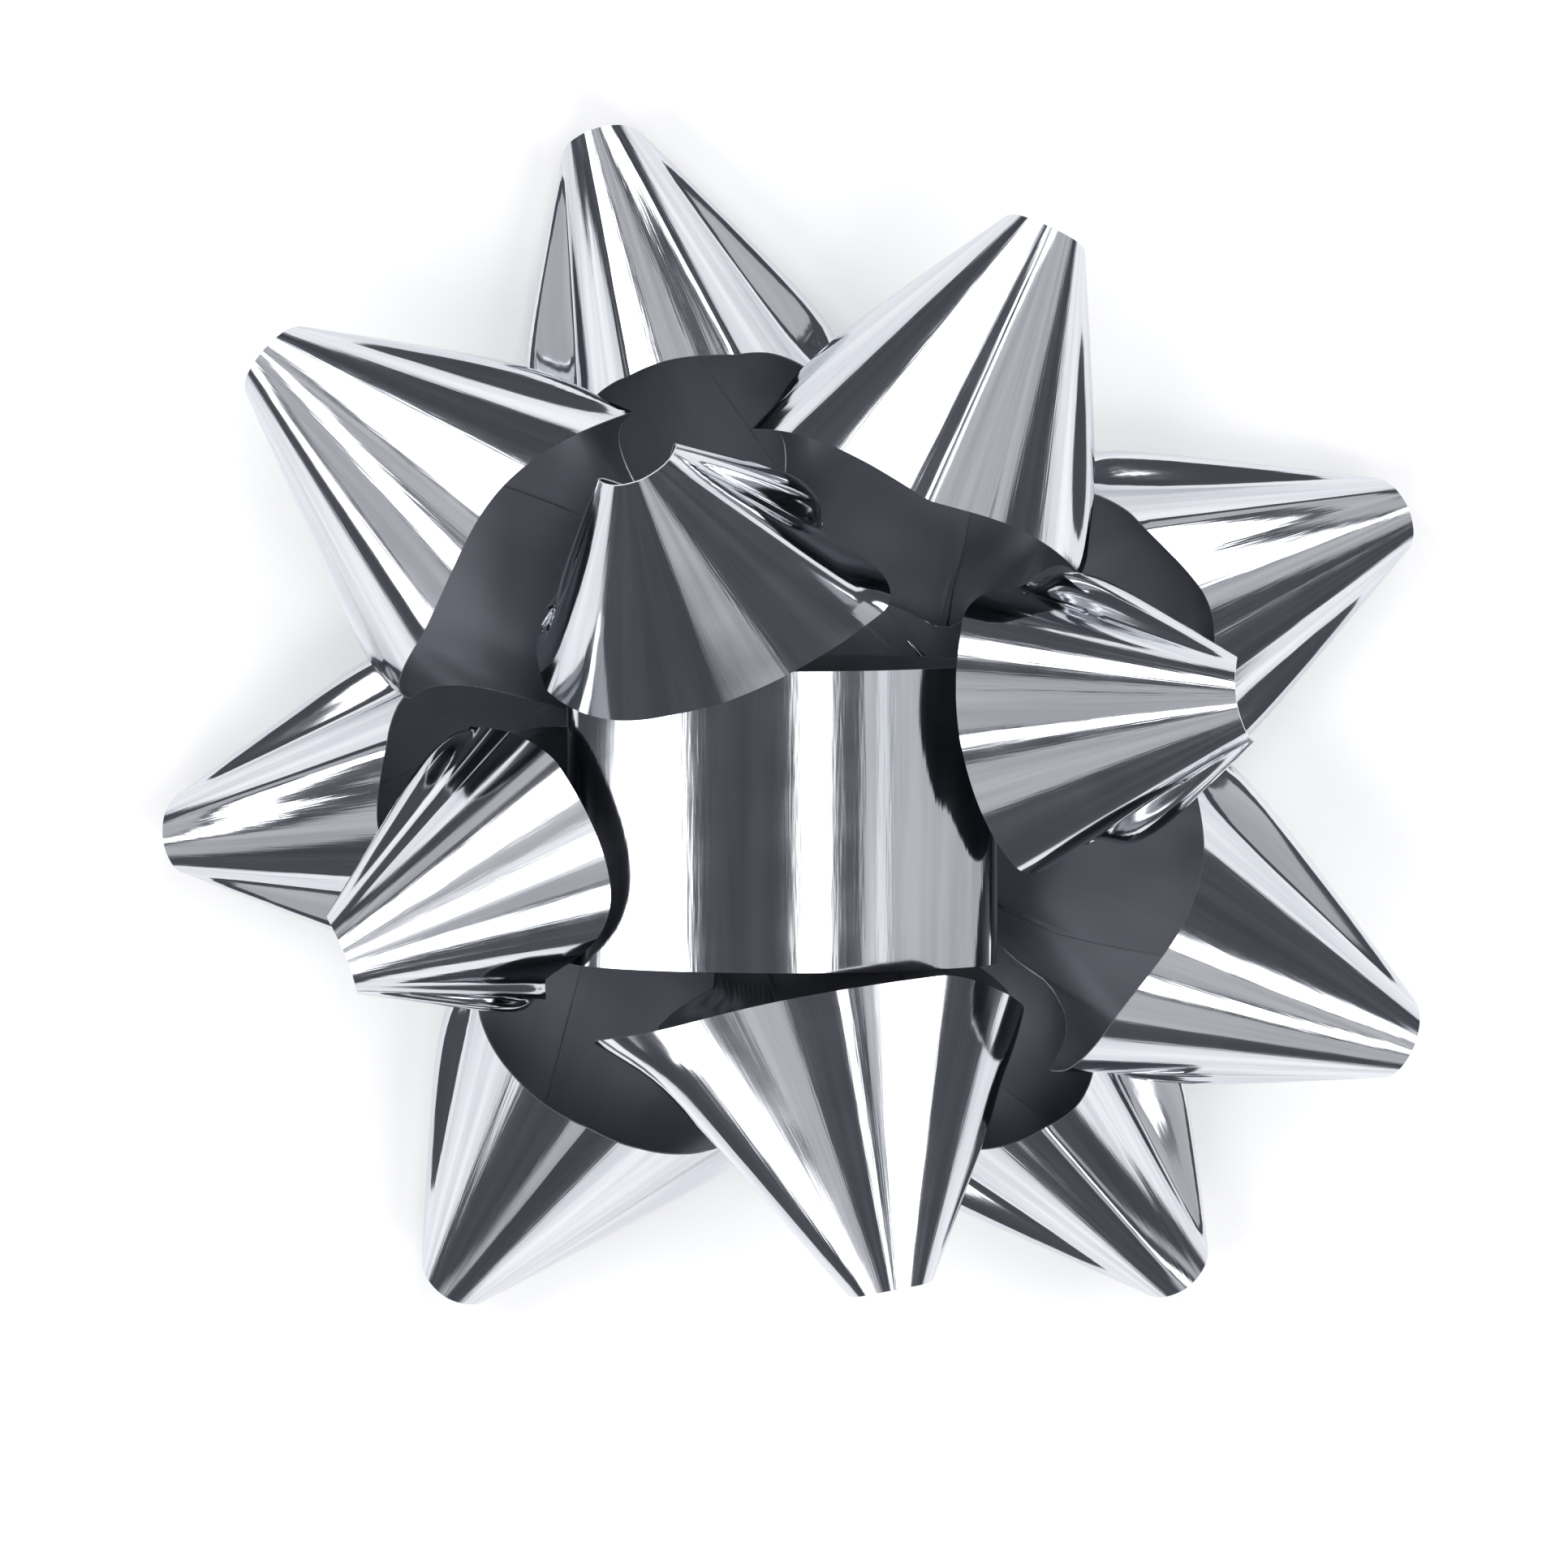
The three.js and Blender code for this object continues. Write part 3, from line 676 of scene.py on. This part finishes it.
def add_liner():
    """The release paper: a flat square with rounded corners."""
    low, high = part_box("release_liner")
    half = (high[0] - low[0]) / 2
    thickness = high[2] - low[2]
    steps = LINER_STEPS
    power = LINER_ROUNDING
    work = bmesh.new()
    layers = []
    for top in (False, True):
        grid = []
        for i in range(steps + 1):
            row = []
            for j in range(steps + 1):
                u, v = 2 * i / steps - 1, 2 * j / steps - 1
                corner = max((abs(u) ** power + abs(v) ** power) ** (1 / power), 1e-9)
                shrink = max(abs(u), abs(v)) / corner
                x, y = half * u * shrink, half * v * shrink
                z = low[2] + (thickness if top else 0.0)
                row.append(work.verts.new((x, y, z)))
            grid.append(row)
        layers.append(grid)
    for top, grid in zip((False, True), layers):
        for i in range(steps):
            for j in range(steps):
                face = (grid[i][j], grid[i + 1][j], grid[i + 1][j + 1], grid[i][j + 1])
                work.faces.new(face if top else face[::-1])
    bottom, upper = layers
    rim = [(i, 0) for i in range(steps)] + [(steps, j) for j in range(steps)]
    rim += [(i, steps) for i in range(steps, 0, -1)] + [(0, j) for j in range(steps, 0, -1)]
    for (i, j), (m, n) in zip(rim, rim[1:] + rim[:1]):
        work.faces.new((bottom[i][j], bottom[m][n], upper[m][n], upper[i][j]))
    piece = object_from(work, "paper_liner", LINER, 35)
    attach(piece, "liner")
    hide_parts("release_liner")


def dress_card():
    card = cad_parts["base_card"]
    card.data.materials.clear()
    card.data.materials.append(CARD)


# ---- The studio ----
def add_floor():
    material, nodes, links, shader = new_material("floor")
    grain = stretched_noise(nodes, links, (60, 60, 60), 4, "Object")
    ramp = add_ramp(nodes, [(0.3, (0.86, 0.86, 0.865)), (0.7, (0.9, 0.9, 0.905))])
    links.new(grain.outputs["Fac"], ramp.inputs["Fac"])
    links.new(ramp.outputs["Color"], shader.inputs["Base Color"])
    shader.inputs["Roughness"].default_value = 0.9
    shader.inputs["Emission Color"].default_value = (1, 1, 1, 1)
    shader.inputs["Emission Strength"].default_value = 0.22
    size = 3.0
    corners = [(-size, -size, 0), (size, -size, 0), (size, size, 0), (-size, size, 0)]
    floor = new_object("floor", corners, [(0, 1, 2, 3)])
    floor.data.materials.append(material)


def add_softbox(name, azimuth, elevation, distance, size, watts):
    light = bpy.data.lights.new(name, "AREA")
    light.shape = "RECTANGLE"
    light.size, light.size_y = size
    light.energy = watts
    lamp = bpy.data.objects.new(name, light)
    place = Vector(
        (
            distance * math.cos(math.radians(elevation)) * math.cos(math.radians(azimuth)),
            distance * math.cos(math.radians(elevation)) * math.sin(math.radians(azimuth)),
            distance * math.sin(math.radians(elevation)),
        )
    )
    lamp.location = place
    lamp.rotation_euler = place.to_track_quat("Z", "Y").to_euler()
    bpy.context.scene.collection.objects.link(lamp)


def add_world():
    world = bpy.data.worlds.new("studio")
    bpy.context.scene.world = world
    world.use_nodes = True
    background = world.node_tree.nodes["Background"]
    background.inputs["Color"].default_value = (0.3, 0.315, 0.36, 1)
    background.inputs["Strength"].default_value = 0.3


def add_camera():
    camera = bpy.data.cameras.new("camera")
    camera.lens = CAMERA_LENS
    camera.clip_start = 0.01
    holder = bpy.data.objects.new("camera", camera)
    lean = Vector((0, math.sin(CAMERA_TILT), math.cos(CAMERA_TILT)))
    target = Vector((-0.0005, -0.0012, 0.011))
    holder.location = target + lean * CAMERA_DISTANCE
    holder.rotation_euler = (-CAMERA_TILT, 0, 0)
    bpy.context.scene.collection.objects.link(holder)
    bpy.context.scene.camera = holder


add_camera()
LOOP_LIST = [Loop(index, row) for index, row in enumerate(LOOPS)]
find_planes(LOOP_LIST)
for each in LOOP_LIST:
    add_pointed_loop(each)
add_centre_loop()
add_staple()
dress_card()
add_pad()
add_liner()
add_floor()
add_world()
for k in range(6):
    add_softbox(f"softbox_{k + 1}", 60 * k + 18, 48, 1.0, (0.2, 0.7), 1.8)
    add_softbox(f"softbox_dim_{k + 1}", 60 * k + 50, 42, 1.1, (0.42, 0.9), 0.6)
add_softbox("softbox_top", 0, 84, 1.2, (0.9, 0.15), 1.0)
add_softbox("softbox_top_dim", 0, 68, 1.2, (0.9, 0.26), 0.45)
bpy.context.scene.view_settings.view_transform = "Standard"
